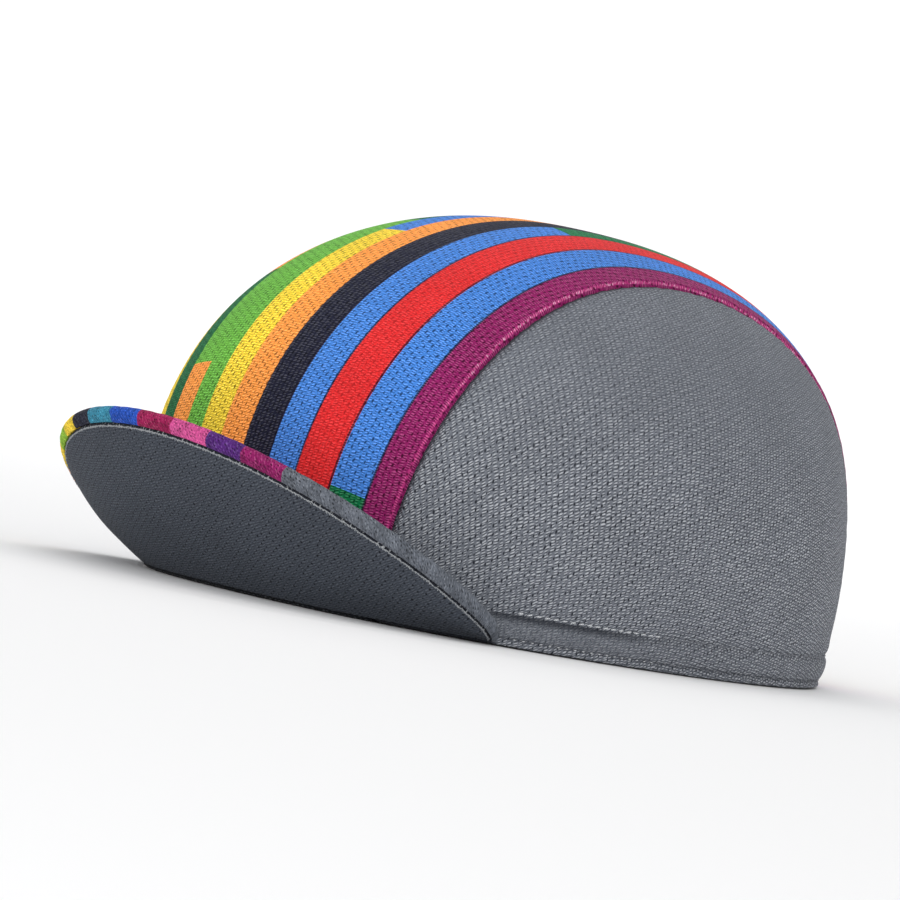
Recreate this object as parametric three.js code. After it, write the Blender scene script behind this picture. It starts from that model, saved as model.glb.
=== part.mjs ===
// A three panel cycling cap that stands on its rim, in millimetres, +Z up.
// The wearer's left is +X and the front, with the turned up peak, is -Y.
// The crown is star shaped about the middle of the rim: a point on it is a direction from there
// and the crown's reach in that direction, and every cloth piece is a wall at some depth below it.

import * as THREE from "three";
import { mergeVertices } from "three/addons/utils/BufferGeometryUtils.js";

// Driving dimensions of the rim
const rimHalfWidth = 77.0;
const rimFrontReach = 81.5;
const rimBackReach = 113.5;
const rimFrontSquareness = 2.36;
const rimBackSquareness = 1.8;

// Driving dimensions of the crown
const crownHeight = 108.5;
const crownLean = 9.3;
const crownSquareness = 2.43;
const crownBulge = 0.095;
const crownFrontSwellShare = 0.5;
const crownWall = 1.8;
const centrePanelFrontHalfWidth = 48.5;
const centrePanelTopHalfWidth = 44.5;
const centrePanelBackHalfWidth = 27.5;
const centrePanelProud = 0.5;

// Driving dimensions of the peak
const peakCornerAngle = 57.5;
const peakForward = 34.0;
const peakRise = 39.5;
const peakFlare = 0.55;
const peakRoundness = 1.46;
const peakCamber = 2.6;
const peakEarlyRise = 0.4;
const peakUnderThickness = 1.2;
const peakTopThickness = 1.5;
const peakLipWidth = 3.4;
const peakLipCornerShare = 0.45;
const peakEdgeRadius = 0.7;

// Driving dimensions of the bands and strips inside
const sweatbandHeight = 17.0;
const sweatbandThickness = 2.0;
const sweatbandHalfAngle = 149.0;
const elasticHeight = 18.0;
const elasticThickness = 2.4;
const allowanceWidth = 9.0;
const allowanceThickness = 1.0;

// Clearances: between pieces edge to edge, and between layers, which are flat between their corners
const gap = 0.35;
const layerGap = 0.6;
const bandLift = 0.9;
const peakLift = 0.9;
const allowanceLift = 2.0;
const peakEndShare = 0.96;
const peakSeamStretch = 1.4;

// Soft dents and swells of the cloth, the same on both sides: the angle round from the front and
// the angle up from the rim of the middle, their spreads, and the depth as a share of the height
const dents = [
  { round: 97, up: 11, spreadRound: 26, spreadUp: 6, depth: 0.010 },
  { round: 118, up: 4, spreadRound: 20, spreadUp: 4, depth: -0.009 },
  { round: 152, up: 22, spreadRound: 14, spreadUp: 12, depth: -0.012 },
  { round: 48, up: 34, spreadRound: 16, spreadUp: 16, depth: -0.008 },
  { round: 180, up: 9, spreadRound: 13, spreadUp: 7, depth: 0.012 },
];

// How finely the pieces are divided
const divisions = {
  panelLong: 40,
  panelCross: 14,
  sideCross: 10,
  peakLong: 44,
  peakCross: 5,
  bandLong: 64,
  bandTall: 2,
  elasticLong: 20,
  allowanceLong: 36,
};

const degree = Math.PI / 180;

// The cloth and finish of each piece
const finishes = {
  greyMesh: { color: 0x6b7078, roughness: 0.9 },
  stripedMesh: { color: 0xb03a48, roughness: 0.85 },
  peakCloth: { color: 0x8c2f5c, roughness: 0.8 },
  peakMesh: { color: 0x424850, roughness: 0.9 },
  sweatTowel: { color: 0x2d261c, roughness: 0.95 },
  elasticCloth: { color: 0x241f17, roughness: 0.9 },
  paleMesh: { color: 0xd7dee8, roughness: 0.9 },
};

// The rim's distance from its middle: a front and a back half oval, each with its squareness
function rimRadius(round) {
  const reach = Math.cos(round) > 0 ? rimFrontReach : rimBackReach;
  const power = Math.cos(round) > 0 ? rimFrontSquareness : rimBackSquareness;
  const across = Math.abs(Math.sin(round) / rimHalfWidth) ** power;
  const along = Math.abs(Math.cos(round) / reach) ** power;
  return (across + along) ** (-1 / power);
}

// The depth of all dents together in one direction, in millimetres
function dentDepth(round, up) {
  let depth = 0;
  for (const dent of dents) {
    const away = (Math.abs(round) / degree - dent.round) / dent.spreadRound;
    const above = (up / degree - dent.up) / dent.spreadUp;
    depth += dent.depth * crownHeight * Math.exp(-away * away - above * above);
  }
  return depth;
}

// The point of the crown in a direction, a given distance outside its surface: an upright oval
// between the rim and the top that swells above the rim and leans back towards the top
function crownPoint(direction, outside) {
  const round = Math.atan2(direction.x, -direction.y);
  const up = Math.asin(THREE.MathUtils.clamp(direction.z, -1, 1));
  const swell = 1 + crownBulge * Math.sin(2 * up) * (1 + crownFrontSwellShare * Math.cos(round));
  const power = crownSquareness;
  const across = Math.abs(Math.cos(up) / (rimRadius(round) * swell)) ** power;
  const tall = Math.abs(Math.sin(up) / crownHeight) ** power;
  const reach = (across + tall) ** (-1 / power) + dentDepth(round, up) * Math.sin(2 * up) + outside;
  const point = direction.clone().multiplyScalar(reach);
  point.y += crownLean * (Math.max(point.z, 0) / crownHeight) ** 1.5;
  return point;
}

// A direction given by the angle round from the front and the angle up from the rim
function polarDirection(round, up) {
  const level = Math.cos(up);
  return new THREE.Vector3(level * Math.sin(round), -level * Math.cos(round), Math.sin(up));
}

// A direction given by the angle over the top from front to back and the angle out to one side
function fanDirection(over, aside) {
  const flat = Math.cos(aside);
  return new THREE.Vector3(Math.sin(aside), -flat * Math.cos(over), flat * Math.sin(over));
}

// The angle out to the side at which the crown is a given distance from its middle plane
function asideAngle(over, distance) {
  let aside = 0.45;
  for (let step = 0; step < 12; step += 1) {
    const reach = crownPoint(fanDirection(over, aside), 0).x / Math.sin(aside);
    aside = Math.asin(THREE.MathUtils.clamp(distance / reach, -0.98, 0.98));
  }
  return aside;
}

// The seams' angles out to the side at the front rim, at the top and at the back rim
const seamAngles = {
  front: asideAngle(0, centrePanelFrontHalfWidth),
  top: asideAngle(Math.PI / 2, centrePanelTopHalfWidth),
  back: asideAngle(Math.PI, centrePanelBackHalfWidth),
};

// The half width of the centre panel at an angle over the top: the seam's angle out to the side
// swings smoothly through its three values
function centreHalfWidth(over) {
  const { front, top, back } = seamAngles;
  const rimMean = (front + back) / 2;
  const swing = ((front - back) / 2) * Math.cos(over) + ((rimMean - top) / 2) * Math.cos(2 * over);
  return crownPoint(fanDirection(over, (rimMean + top) / 2 + swing), 0).x;
}

// A closed box of the given divisions, bent by a map from the unit cube to points; edges that
// the map draws together into one point lose their flat triangles
function bentBox(map, along, across, deep) {
  const box = new THREE.BoxGeometry(1, 1, 1, along, across, deep);
  box.translate(0.5, 0.5, 0.5);
  box.deleteAttribute("normal");
  box.deleteAttribute("uv");
  const places = box.getAttribute("position");
  for (let index = 0; index < places.count; index += 1) {
    const point = map(places.getX(index), places.getY(index), places.getZ(index));
    places.setXYZ(index, point.x, point.y, point.z);
  }
  return sealed(box);
}

// The same geometry with equal corners shared, triangles without area left out and faces outward
function sealed(geometry) {
  const merged = mergeVertices(geometry, 1e-3);
  const corners = Array.from(merged.getIndex().array);
  const kept = [];
  for (let first = 0; first < corners.length; first += 3) {
    const [a, b, c] = corners.slice(first, first + 3);
    if (a !== b && b !== c && c !== a) {
      kept.push(a, b, c);
    }
  }
  merged.setIndex(kept);
  if (signedVolume(merged) < 0) {
    merged.setIndex(kept.reverse());
  }
  merged.computeVertexNormals();
  return merged;
}

// Six times the volume that the triangles close in, negative when they face inward
function signedVolume(geometry) {
  const places = geometry.getAttribute("position");
  const corners = geometry.getIndex().array;
  const [a, b, c] = [new THREE.Vector3(), new THREE.Vector3(), new THREE.Vector3()];
  let total = 0;
  for (let first = 0; first < corners.length; first += 3) {
    a.fromBufferAttribute(places, corners[first]);
    b.fromBufferAttribute(places, corners[first + 1]);
    c.fromBufferAttribute(places, corners[first + 2]);
    total += a.dot(b.cross(c));
  }
  return total;
}

// A named piece in one of the finishes
function piece(name, geometry, finish) {
  const { color, roughness } = finishes[finish];
  const material = new THREE.MeshStandardMaterial({ color, roughness, metalness: 0 });
  const mesh = new THREE.Mesh(geometry, material);
  mesh.name = name;
  return mesh;
}

// The centre panel runs over the top from the front rim to the back rim, a little proud
function centrePanel() {
  const wall = (u, v, w) => {
    const over = u * Math.PI;
    const edge = asideAngle(over, centreHalfWidth(over) - gap / 2);
    const outside = THREE.MathUtils.lerp(-crownWall, centrePanelProud, w);
    return crownPoint(fanDirection(over, (2 * v - 1) * edge), outside);
  };
  const panel = bentBox(wall, divisions.panelLong, divisions.panelCross, 1);
  return piece("centre_panel", panel, "stripedMesh");
}

// A side panel fills the space between the rim and the centre panel's edge
function sidePanel(name, side) {
  const seamDirection = (over) => fanDirection(over, asideAngle(over, centreHalfWidth(over) + gap / 2));
  const front = seamDirection(0);
  const back = seamDirection(Math.PI);
  const frontRound = Math.atan2(front.x, -front.y);
  const backRound = Math.atan2(back.x, -back.y);
  const wall = (u, v, w) => {
    const seam = seamDirection(u * Math.PI);
    const rim = polarDirection(THREE.MathUtils.lerp(frontRound, backRound, u), 0);
    const direction = rim.lerp(seam, v).normalize();
    direction.x *= side;
    return crownPoint(direction, THREE.MathUtils.lerp(-crownWall, 0, w));
  };
  return piece(name, bentBox(wall, divisions.panelLong, divisions.sideCross, 1), "greyMesh");
}

// The peak's seam on the crown: a point of the crown's wall at a height above the rim
function peakSeamPoint(share, height) {
  const round = share * peakCornerAngle * degree;
  const up = Math.atan2(height, rimRadius(round));
  return crownPoint(polarDirection(round, up), centrePanelProud + gap);
}

// The peak's free edge: it flares past its corners, runs forward to the middle and rises
function peakEdgePoint(share) {
  const turn = share * 90 * degree;
  const middle = Math.max(Math.cos(turn), 0);
  const corner = peakSeamPoint(1, peakLift);
  const depth = rimFrontReach + peakForward + corner.y;
  const x = corner.x * Math.sin(turn) * (1 + peakFlare * middle);
  const y = corner.y - depth * middle ** peakRoundness;
  const lateRise = 1 - peakEarlyRise;
  const z = peakLift + peakRise * (peakEarlyRise * middle + lateRise * middle * middle);
  return new THREE.Vector3(x, y, z);
}

// The way through the peak at its free edge, square to the sheet and away from the underside
function peakEdgeNormal(share) {
  const step = 0.01;
  const alongEdge = peakEdgePoint(share + step).sub(peakEdgePoint(share - step));
  const outward = peakEdgePoint(share).sub(peakSeamPoint(share, peakLift));
  return outward.cross(alongEdge).normalize();
}

// A point of the peak: straight from the seam to the free edge, bowed down by the camber
function peakPoint(share, outward, height) {
  const seam = peakSeamPoint(share, peakLift + height * peakSeamStretch);
  const normal = peakEdgeNormal(share);
  const edge = peakEdgePoint(share).addScaledVector(normal, height);
  const bow = peakCamber * 4 * outward * (1 - outward) * Math.cos(share * 90 * degree);
  return seam.lerp(edge, outward).addScaledVector(normal, -bow);
}

// How wide the peak is from its seam to its free edge at a share of the way to a corner
function peakWidth(share) {
  return peakEdgePoint(share).distanceTo(peakSeamPoint(share, peakLift));
}

// How wide the folded lip is, full in the middle and narrower towards the corners
function peakLip(share) {
  return peakLipWidth * THREE.MathUtils.lerp(1, peakLipCornerShare, share ** 4);
}

// The under side of the peak, which ends inside the folded lip of the upper cloth
function peakUnder() {
  const wall = (u, v, w) => {
    const share = (2 * u - 1) * peakEndShare;
    const inset = (peakLip(share) + gap) / peakWidth(share);
    return peakPoint(share, v * (1 - inset), w * peakUnderThickness);
  };
  return piece("peak_under", bentBox(wall, divisions.peakLong, divisions.peakCross, 1), "peakMesh");
}

// The outline of the upper cloth across the peak, as share outward from the seam and height:
// over the top, round the free edge and back along the step that holds the under side
function peakTopOutline(share) {
  const width = peakWidth(share);
  const step = peakUnderThickness + gap;
  const full = step + peakTopThickness;
  const lip = 1 - peakLip(share) / width;
  const round = 1 - peakEdgeRadius / width;
  const outline = [];
  const steps = Math.round(divisions.peakCross);
  for (let cross = 0; cross <= steps; cross += 1) {
    outline.push([(round * cross) / steps, full]);
  }
  outline.push([1, full - peakEdgeRadius], [1, peakEdgeRadius], [round, 0], [lip, 0]);
  for (let cross = steps; cross >= 0; cross -= 1) {
    outline.push([(lip * cross) / steps, step]);
  }
  return outline;
}

// The upper cloth of the peak: its outline carried from one corner round to the other, closed
// at both ends
function peakTop() {
  const columns = Math.round(divisions.peakLong);
  const sections = [];
  for (let column = 0; column <= columns; column += 1) {
    const share = ((2 * column) / columns - 1) * peakEndShare;
    sections.push(peakTopOutline(share).map(([outward, height]) => peakPoint(share, outward, height)));
  }
  const count = sections[0].length;
  const corners = [];
  for (let column = 0; column < columns; column += 1) {
    for (let place = 0; place < count; place += 1) {
      const here = column * count + place;
      const next = column * count + ((place + 1) % count);
      corners.push(here, here + count, next, next, here + count, next + count);
    }
  }
  const endWidth = peakWidth(peakEndShare);
  const endPlace = ([outward, height]) => new THREE.Vector2(outward * endWidth, height);
  const flat = peakTopOutline(peakEndShare).map(endPlace);
  const last = columns * count;
  for (const face of THREE.ShapeUtils.triangulateShape(flat, [])) {
    const turned = THREE.ShapeUtils.isClockWise(face.map((place) => flat[place]));
    const [a, b, c] = turned === THREE.ShapeUtils.isClockWise(flat) ? face : face.reverse();
    corners.push(a, b, c, last + c, last + b, last + a);
  }
  const geometry = new THREE.BufferGeometry().setFromPoints(sections.flat());
  geometry.setIndex(corners);
  return piece("peak_top", sealed(geometry), "peakCloth");
}

// A band that lies against the inside of the crown above the rim, between two angles round
function innerBand(from, to, height, thickness, along) {
  const band = (u, v, w) => {
    const round = THREE.MathUtils.lerp(from, to, u) * degree;
    const up = Math.atan2(THREE.MathUtils.lerp(bandLift, height, v), rimRadius(round));
    const depth = crownWall + layerGap + (1 - w) * thickness;
    return crownPoint(polarDirection(round, up), -depth);
  };
  return bentBox(band, along, divisions.bandTall, 1);
}

// The sweatband lies round the front and both sides
function sweatband() {
  const half = sweatbandHalfAngle;
  const band = innerBand(-half, half, sweatbandHeight, sweatbandThickness, divisions.bandLong);
  return piece("sweatband", band, "sweatTowel");
}

// The covered elastic closes the band across the back, end to end with the sweatband
function backElastic() {
  const clear = gap / rimBackReach / degree;
  const from = sweatbandHalfAngle + clear;
  const band = innerBand(from, 360 - from, elasticHeight, elasticThickness, divisions.elasticLong);
  return piece("back_elastic", band, "elasticCloth");
}

// The angle over the top at which a seam reaches a height, counted from the front or the back
function overAtHeight(height, isBack) {
  let angle = 0.2;
  for (let step = 0; step < 12; step += 1) {
    const over = isBack ? Math.PI - angle : angle;
    const reach = crownPoint(fanDirection(over, asideAngle(over, centreHalfWidth(over))), 0);
    angle = Math.atan2(height * Math.tan(angle), reach.z);
  }
  return isBack ? Math.PI - angle : angle;
}

// The seam allowance is a strip of cloth under a seam, from the bands up over the top
function seamAllowance(name, side) {
  const start = overAtHeight(sweatbandHeight + allowanceLift, false);
  const end = overAtHeight(elasticHeight + allowanceLift, true);
  const strip = (u, v, w) => {
    const over = THREE.MathUtils.lerp(start, end, u);
    const aside = asideAngle(over, centreHalfWidth(over) + (v - 0.5) * allowanceWidth);
    const depth = crownWall + layerGap + (1 - w) * allowanceThickness;
    return crownPoint(fanDirection(over, side * aside), -depth);
  };
  return piece(name, bentBox(strip, divisions.allowanceLong, 2, 1), "paleMesh");
}

const cap = new THREE.Group();
cap.add(centrePanel());
cap.add(sidePanel("side_panel_left", 1));
cap.add(sidePanel("side_panel_right", -1));
cap.add(peakTop());
cap.add(peakUnder());
cap.add(sweatband());
cap.add(backElastic());
cap.add(seamAllowance("seam_allowance_left", 1));
cap.add(seamAllowance("seam_allowance_right", -1));

// The origin is the middle of the floor under the whole cap
const box = new THREE.Box3().setFromObject(cap);
cap.position.set(0, -(box.min.y + box.max.y) / 2, 0);

export default cap;
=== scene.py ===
import math

import bmesh
import bpy
import numpy as np
from mathutils import Matrix


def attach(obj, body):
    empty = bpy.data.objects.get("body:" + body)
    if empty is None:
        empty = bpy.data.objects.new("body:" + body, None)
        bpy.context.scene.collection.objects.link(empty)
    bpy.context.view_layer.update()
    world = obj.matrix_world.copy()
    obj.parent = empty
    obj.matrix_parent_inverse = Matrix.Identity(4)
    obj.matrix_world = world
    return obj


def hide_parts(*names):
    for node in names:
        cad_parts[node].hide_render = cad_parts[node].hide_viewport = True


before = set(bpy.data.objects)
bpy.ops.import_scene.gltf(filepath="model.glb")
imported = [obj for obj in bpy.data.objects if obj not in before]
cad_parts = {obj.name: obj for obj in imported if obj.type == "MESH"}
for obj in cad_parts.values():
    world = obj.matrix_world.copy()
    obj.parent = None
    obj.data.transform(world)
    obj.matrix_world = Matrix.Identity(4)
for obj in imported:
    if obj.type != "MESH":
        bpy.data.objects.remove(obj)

mm = 0.001
degree = math.pi / 180
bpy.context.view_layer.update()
print("frame loaded:", sorted(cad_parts))


# Colours as 0 to 255 screen values, turned into the linear values that shaders take
def colour(red, green, blue):
    screen = np.array([red, green, blue]) / 255
    linear = np.where(screen <= 0.04045, screen / 12.92, ((screen + 0.055) / 1.055) ** 2.4)
    return (*linear.tolist(), 1.0)


# Soft step from 0 to 1 between two values: 3t squared minus 2t cubed
def softStep(low, high, value):
    t = np.clip((value - low) / (high - low), 0, 1)
    return t * t * (3 - 2 * t)


# Bell of 1 at a place that falls off over a width: exp(-((value - place) / width) squared)
def bell(value, place, width):
    return np.exp(-(((value - place) / width) ** 2))


# Ridges and grooves from a table of place, width and height: the sum of their bells
def ridged(value, table):
    return sum(height * bell(value, place, width) for place, width, height in table)


# From a to b by the share t: a + (b - a) t
def mix(a, b, t):
    return a + (b - a) * t


# Vectors made one long: each over its own length
def unit(vectors):
    return vectors / np.maximum(np.linalg.norm(vectors, axis=-1, keepdims=True), 1e-12)


# Running length along one axis of a grid of points: the sum of the steps between them
def runningLength(points, axis):
    steps = np.linalg.norm(np.diff(points, axis=axis), axis=-1)
    start = np.zeros_like(np.take(steps, [0], axis=axis))
    return np.cumsum(np.concatenate([start, steps], axis=axis), axis=axis)


# Evenly spaced numbers from 0 to 1 that crowd towards both ends: w - a sin(2 pi w) / (2 pi)
def crowded(count, amount):
    w = np.linspace(0, 1, count)
    return w - amount * np.sin(2 * np.pi * w) / (2 * np.pi)


# Crown form: star shaped about the middle of the rim, so a point is a direction from there times a reach

crown = {
    "halfWidth": 77.0 * mm,
    "frontReach": 81.5 * mm,
    "backReach": 113.5 * mm,
    "frontSquareness": 2.36,
    "backSquareness": 1.8,
    "height": 108.5 * mm,
    "lean": 9.3 * mm,
    "squareness": 2.43,
    "bulge": 0.095,
    "frontSwell": 0.5,
    "wall": 1.8 * mm,
    "middleY": -0.569 * mm,      # where the rim's middle lies in the frame
    "edgeLift": 0.8 * mm,        # the rolled lower edge starts this high and rolls down to the floor
}

# Soft dents and swells: angle round from the front, angle up, their spreads, share of the height
dents = [
    (97, 11, 26, 6, 0.010),
    (118, 4, 20, 4, -0.009),
    (152, 22, 14, 12, -0.012),
    (48, 34, 16, 16, -0.008),
    (180, 9, 13, 7, 0.012),
]


# Rim distance from its middle: (|sin/half width|^p + |cos/reach|^p)^(-1/p), front and back apart
def rimRadius(around):
    isFront = np.cos(around) > 0
    reach = np.where(isFront, crown["frontReach"], crown["backReach"])
    power = np.where(isFront, crown["frontSquareness"], crown["backSquareness"])
    across = np.abs(np.sin(around) / crown["halfWidth"]) ** power
    along = np.abs(np.cos(around) / reach) ** power
    return (across + along) ** (-1 / power)


# Sum of the dents: each its share of the height times exp(-away squared - above squared)
def dentDepth(around, up):
    depth = np.zeros_like(around)
    for at, high, spreadAround, spreadUp, share in dents:
        away = (np.abs(around) / degree - at) / spreadAround
        above = (up / degree - high) / spreadUp
        depth = depth + share * crown["height"] * np.exp(-away**2 - above**2)
    return depth


# Crown point: direction times (|cos up/(rim swell)|^n + |sin up/height|^n)^(-1/n) plus the dents
# and a distance outside, then leaned back by height^1.5
def crownPoint(direction, outside=0.0):
    around = np.arctan2(direction[..., 0], -direction[..., 1])
    up = np.arcsin(np.clip(direction[..., 2], -1, 1))
    swell = 1 + crown["bulge"] * np.sin(2 * up) * (1 + crown["frontSwell"] * np.cos(around))
    power = crown["squareness"]
    across = np.abs(np.cos(up) / (rimRadius(around) * swell)) ** power
    tall = np.abs(np.sin(up) / crown["height"]) ** power
    reach = (across + tall) ** (-1 / power) + dentDepth(around, up) * np.sin(2 * up) + outside
    point = direction * reach[..., None]
    point[..., 1] += crown["lean"] * (np.maximum(point[..., 2], 0) / crown["height"]) ** 1.5
    point[..., 1] += crown["middleY"]
    return point


# Direction from the angle round from the front and the angle up from the rim
def polarDirection(around, up):
    around, up = np.broadcast_arrays(around, up)
    return np.stack([np.cos(up) * np.sin(around), -np.cos(up) * np.cos(around), np.sin(up)], -1)


# Direction from the angle over the top, front to back, and the angle out to one side
def fanDirection(over, aside):
    over, aside = np.broadcast_arrays(over, aside)
    return np.stack([np.sin(aside), -np.cos(aside) * np.cos(over), np.cos(aside) * np.sin(over)], -1)


# Angle aside at which the crown lies a distance from its middle plane: asin(distance / reach),
# repeated from a first guess
def asideAngle(over, distance):
    aside = np.full(np.shape(over), 0.45)
    for step in range(12):
        reach = crownPoint(fanDirection(over, aside))[..., 0] / np.sin(aside)
        aside = np.arcsin(np.clip(distance / reach, -0.98, 0.98))
    return aside


seam = {
    "frontHalfWidth": 48.5 * mm,
    "topHalfWidth": 44.5 * mm,
    "backHalfWidth": 27.5 * mm,
    "gap": 0.35 * mm,
    "proud": 0.5 * mm,           # the centre panel stands this much over the side panels in front
    "proudBehind": 0.15 * mm,
    "settling": (1.15, 1.75),    # between these angles over the top, in radians
}
seamAt = [float(asideAngle(np.array(over), seam[key])) for over, key in
          ((0.0, "frontHalfWidth"), (np.pi / 2, "topHalfWidth"), (np.pi, "backHalfWidth"))]


# Half width of the centre panel: the seam's angle aside swings as a + b cos(over) + c cos(2 over)
def seamDistance(over):
    front, top, back = seamAt
    rimMean = (front + back) / 2
    aside = (rimMean + top) / 2 + (front - back) / 2 * np.cos(over) + (rimMean - top) / 2 * np.cos(2 * over)
    return crownPoint(fanDirection(over, aside))[..., 0]


# Mesh tools

# Quads of a grid of rows and columns, each joined to the next, closed round where wrapped
def gridQuads(rows, columns, wrapRows=False, wrapColumns=False):
    i = np.arange(rows if wrapRows else rows - 1)[:, None]
    j = np.arange(columns if wrapColumns else columns - 1)[None, :]
    below, beside = (i + 1) % rows, (j + 1) % columns
    corners = [i * columns + j, below * columns + j, below * columns + beside, i * columns + beside]
    return np.stack(corners, -1).reshape(-1, 4)


# Fans of quads that close both ends of a tube of rings round two middle points after the rings
def endFans(rings, sides):
    k = np.arange(0, sides, 2)
    ring = np.stack([k, k + 1, (k + 2) % sides], -1)
    middle, last = np.full((len(k), 1), rings * sides), (rings - 1) * sides
    return np.vstack([np.hstack([middle, ring]), np.hstack([middle + 1, ring[:, ::-1] + last])])


# Faces turned outwards: the signed volume is the sum of corner dot (corner cross corner)
def turnedOut(points, quads):
    a, b, c, d = (points[quads[:, k]] for k in range(4))
    volume = np.einsum("ij,ij->", a, np.cross(b, c)) + np.einsum("ij,ij->", a, np.cross(c, d))
    return quads if volume > 0 else quads[:, ::-1]


# What a welded piece draws together where its grid is pinched: corners this near, edges this short
weld = {"corners": 8e-6, "edges": 1e-6}


# A mesh object from arrays, with maps in millimetres, materials and for each face the number of its own
def makePiece(name, points, quads, uvMaps, materials, faceFinish=None, welded=False):
    quads = np.asarray(quads)
    if faceFinish is None:
        faceFinish = np.zeros(len(quads), int)
    quads = turnedOut(points, quads)
    mesh = bpy.data.meshes.new(name)
    mesh.vertices.add(len(points))
    mesh.vertices.foreach_set("co", points.astype(np.float32).ravel())
    mesh.loops.add(quads.size)
    mesh.loops.foreach_set("vertex_index", quads.astype(np.int32).ravel())
    mesh.polygons.add(len(quads))
    mesh.polygons.foreach_set("loop_start", np.arange(0, quads.size, 4, dtype=np.int32))
    mesh.polygons.foreach_set("material_index", np.asarray(faceFinish, dtype=np.int32))
    mesh.polygons.foreach_set("use_smooth", np.ones(len(quads), dtype=bool))
    mesh.update(calc_edges=True)
    for mapName, coordinates in uvMaps.items():
        layer = mesh.uv_layers.new(name=mapName)
        layer.data.foreach_set("uv", coordinates[quads.ravel()].astype(np.float32).ravel())
    mesh.validate()
    if welded:
        work = bmesh.new()
        work.from_mesh(mesh)
        bmesh.ops.remove_doubles(work, verts=work.verts, dist=weld["corners"])
        bmesh.ops.dissolve_degenerate(work, dist=weld["edges"], edges=work.edges)
        work.to_mesh(mesh)
        work.free()
    piece = bpy.data.objects.new(name, mesh)
    bpy.context.scene.collection.objects.link(piece)
    for material in materials:
        mesh.materials.append(material)
    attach(piece, "root")
    return piece


boundCells = 8                   # how many cells in from the rim a panel's inner face is bound
rolledCloth = 2.5                # the cloth map runs on over a roll by this much of its depth


# A closed cloth: an outer and an inner grid whose borders are joined by a half round roll, mixed
# from one to the other with roll sin(pi t) outwards
def closedShell(name, outer, inner, uvMaps, materials, roll, rollSteps=4, welded=False, edged=None):
    rows, columns = outer.shape[:2]
    i = np.concatenate([np.arange(rows), np.full(columns - 1, rows - 1),
                        np.arange(rows - 2, -1, -1), np.zeros(columns - 2, int)])
    j = np.concatenate([np.zeros(rows, int), np.arange(1, columns),
                        np.full(rows - 1, columns - 1), np.arange(columns - 2, 0, -1)])
    inI, inJ = np.clip(i, 1, rows - 2), np.clip(j, 1, columns - 2)
    away = unit(outer[i, j] - outer[inI, inJ])
    t = (np.arange(1, rollSteps) / rollSteps)[:, None, None]
    rolled = mix(outer[i, j][None], inner[i, j][None], t) + away[None] * roll * np.sin(np.pi * t)
    border = len(i)
    points = np.concatenate([outer.reshape(-1, 3), inner.reshape(-1, 3), rolled.reshape(-1, 3)])
    count = rows * columns
    face = gridQuads(rows, columns)
    ring = np.vstack([i * columns + j,
                      2 * count + np.arange((rollSteps - 1) * border).reshape(rollSteps - 1, border),
                      count + i * columns + j])
    strip = ring.ravel()[gridQuads(rollSteps + 1, border, wrapColumns=True)]
    quads = np.vstack([face, face[:, ::-1] + count, strip])
    finish = np.repeat([0, 1, 0], [len(face), len(face), len(strip)])
    if edged is not None:
        # the bound edge: the lower part of the roll and the first cells of the inner face beside it
        onEdge = (edged(i, j) == 0) & (edged(np.roll(i, -1), np.roll(j, -1)) == 0)
        lower = (np.arange(rollSteps) >= 1)[:, None] & onEdge[None]
        finish[2 * len(face):][lower.ravel()] = 2
        inside = edged(*np.indices((rows - 1, columns - 1))) < boundCells
        finish[len(face):2 * len(face)][inside.ravel()] = 2
    maps = {}
    for mapName, grid in uvMaps.items():
        edge = np.broadcast_to(grid[i, j][None], (rollSteps - 1, border, 2))
        if mapName == "cloth":
            edge = edge + unit(grid[i, j] - grid[inI, inJ])[None] * t * (rolledCloth * roll / mm)
        maps[mapName] = np.concatenate([grid.reshape(-1, 2), grid.reshape(-1, 2), edge.reshape(-1, 2)])
    return makePiece(name, points, quads, maps, materials, finish, welded)


# Stitches: small arched capsules, each a ring of radius r sqrt(1 - t^4) carried along its thread
def stitchRow(name, centres, along, out, size, material):
    rings, sides = 7, 6
    t = np.linspace(-1, 1, rings)
    reach = t * size["length"] / 2
    turn = np.arange(sides) * 2 * np.pi / sides
    girth = size["thread"] / 2 * np.sqrt(np.maximum(1 - t**4, 0.02))
    along, out = unit(along), unit(out)
    side = np.cross(along, out)
    spine = centres[:, None] + along[:, None] * reach[None, :, None]
    spine = spine + out[:, None] * (size["arch"] * (1 - t**2))[None, :, None]
    ringWay = (side[:, None, None] * np.cos(turn)[None, None, :, None]
               + out[:, None, None] * np.sin(turn)[None, None, :, None])
    points = spine[:, :, None] + ringWay * girth[None, :, None, None]
    count, each = len(centres), rings * sides
    quads = gridQuads(rings, sides, wrapColumns=True)
    ends = np.array([[0, 1, 2, 5], [2, 3, 4, 5]])
    quads = np.vstack([quads, ends, ends[:, ::-1] + (rings - 1) * sides])
    quads = (quads[None] + (np.arange(count) * each)[:, None, None]).reshape(-1, 4)
    threadUv = np.stack(np.broadcast_arrays(reach[:, None], (turn * size["thread"] / 2)[None]), -1) / mm
    uv = np.broadcast_to(threadUv[None], (count, rings, sides, 2)).reshape(-1, 2)
    piece = makePiece(name, points.reshape(-1, 3), quads, {"cloth": uv}, [material])


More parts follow.
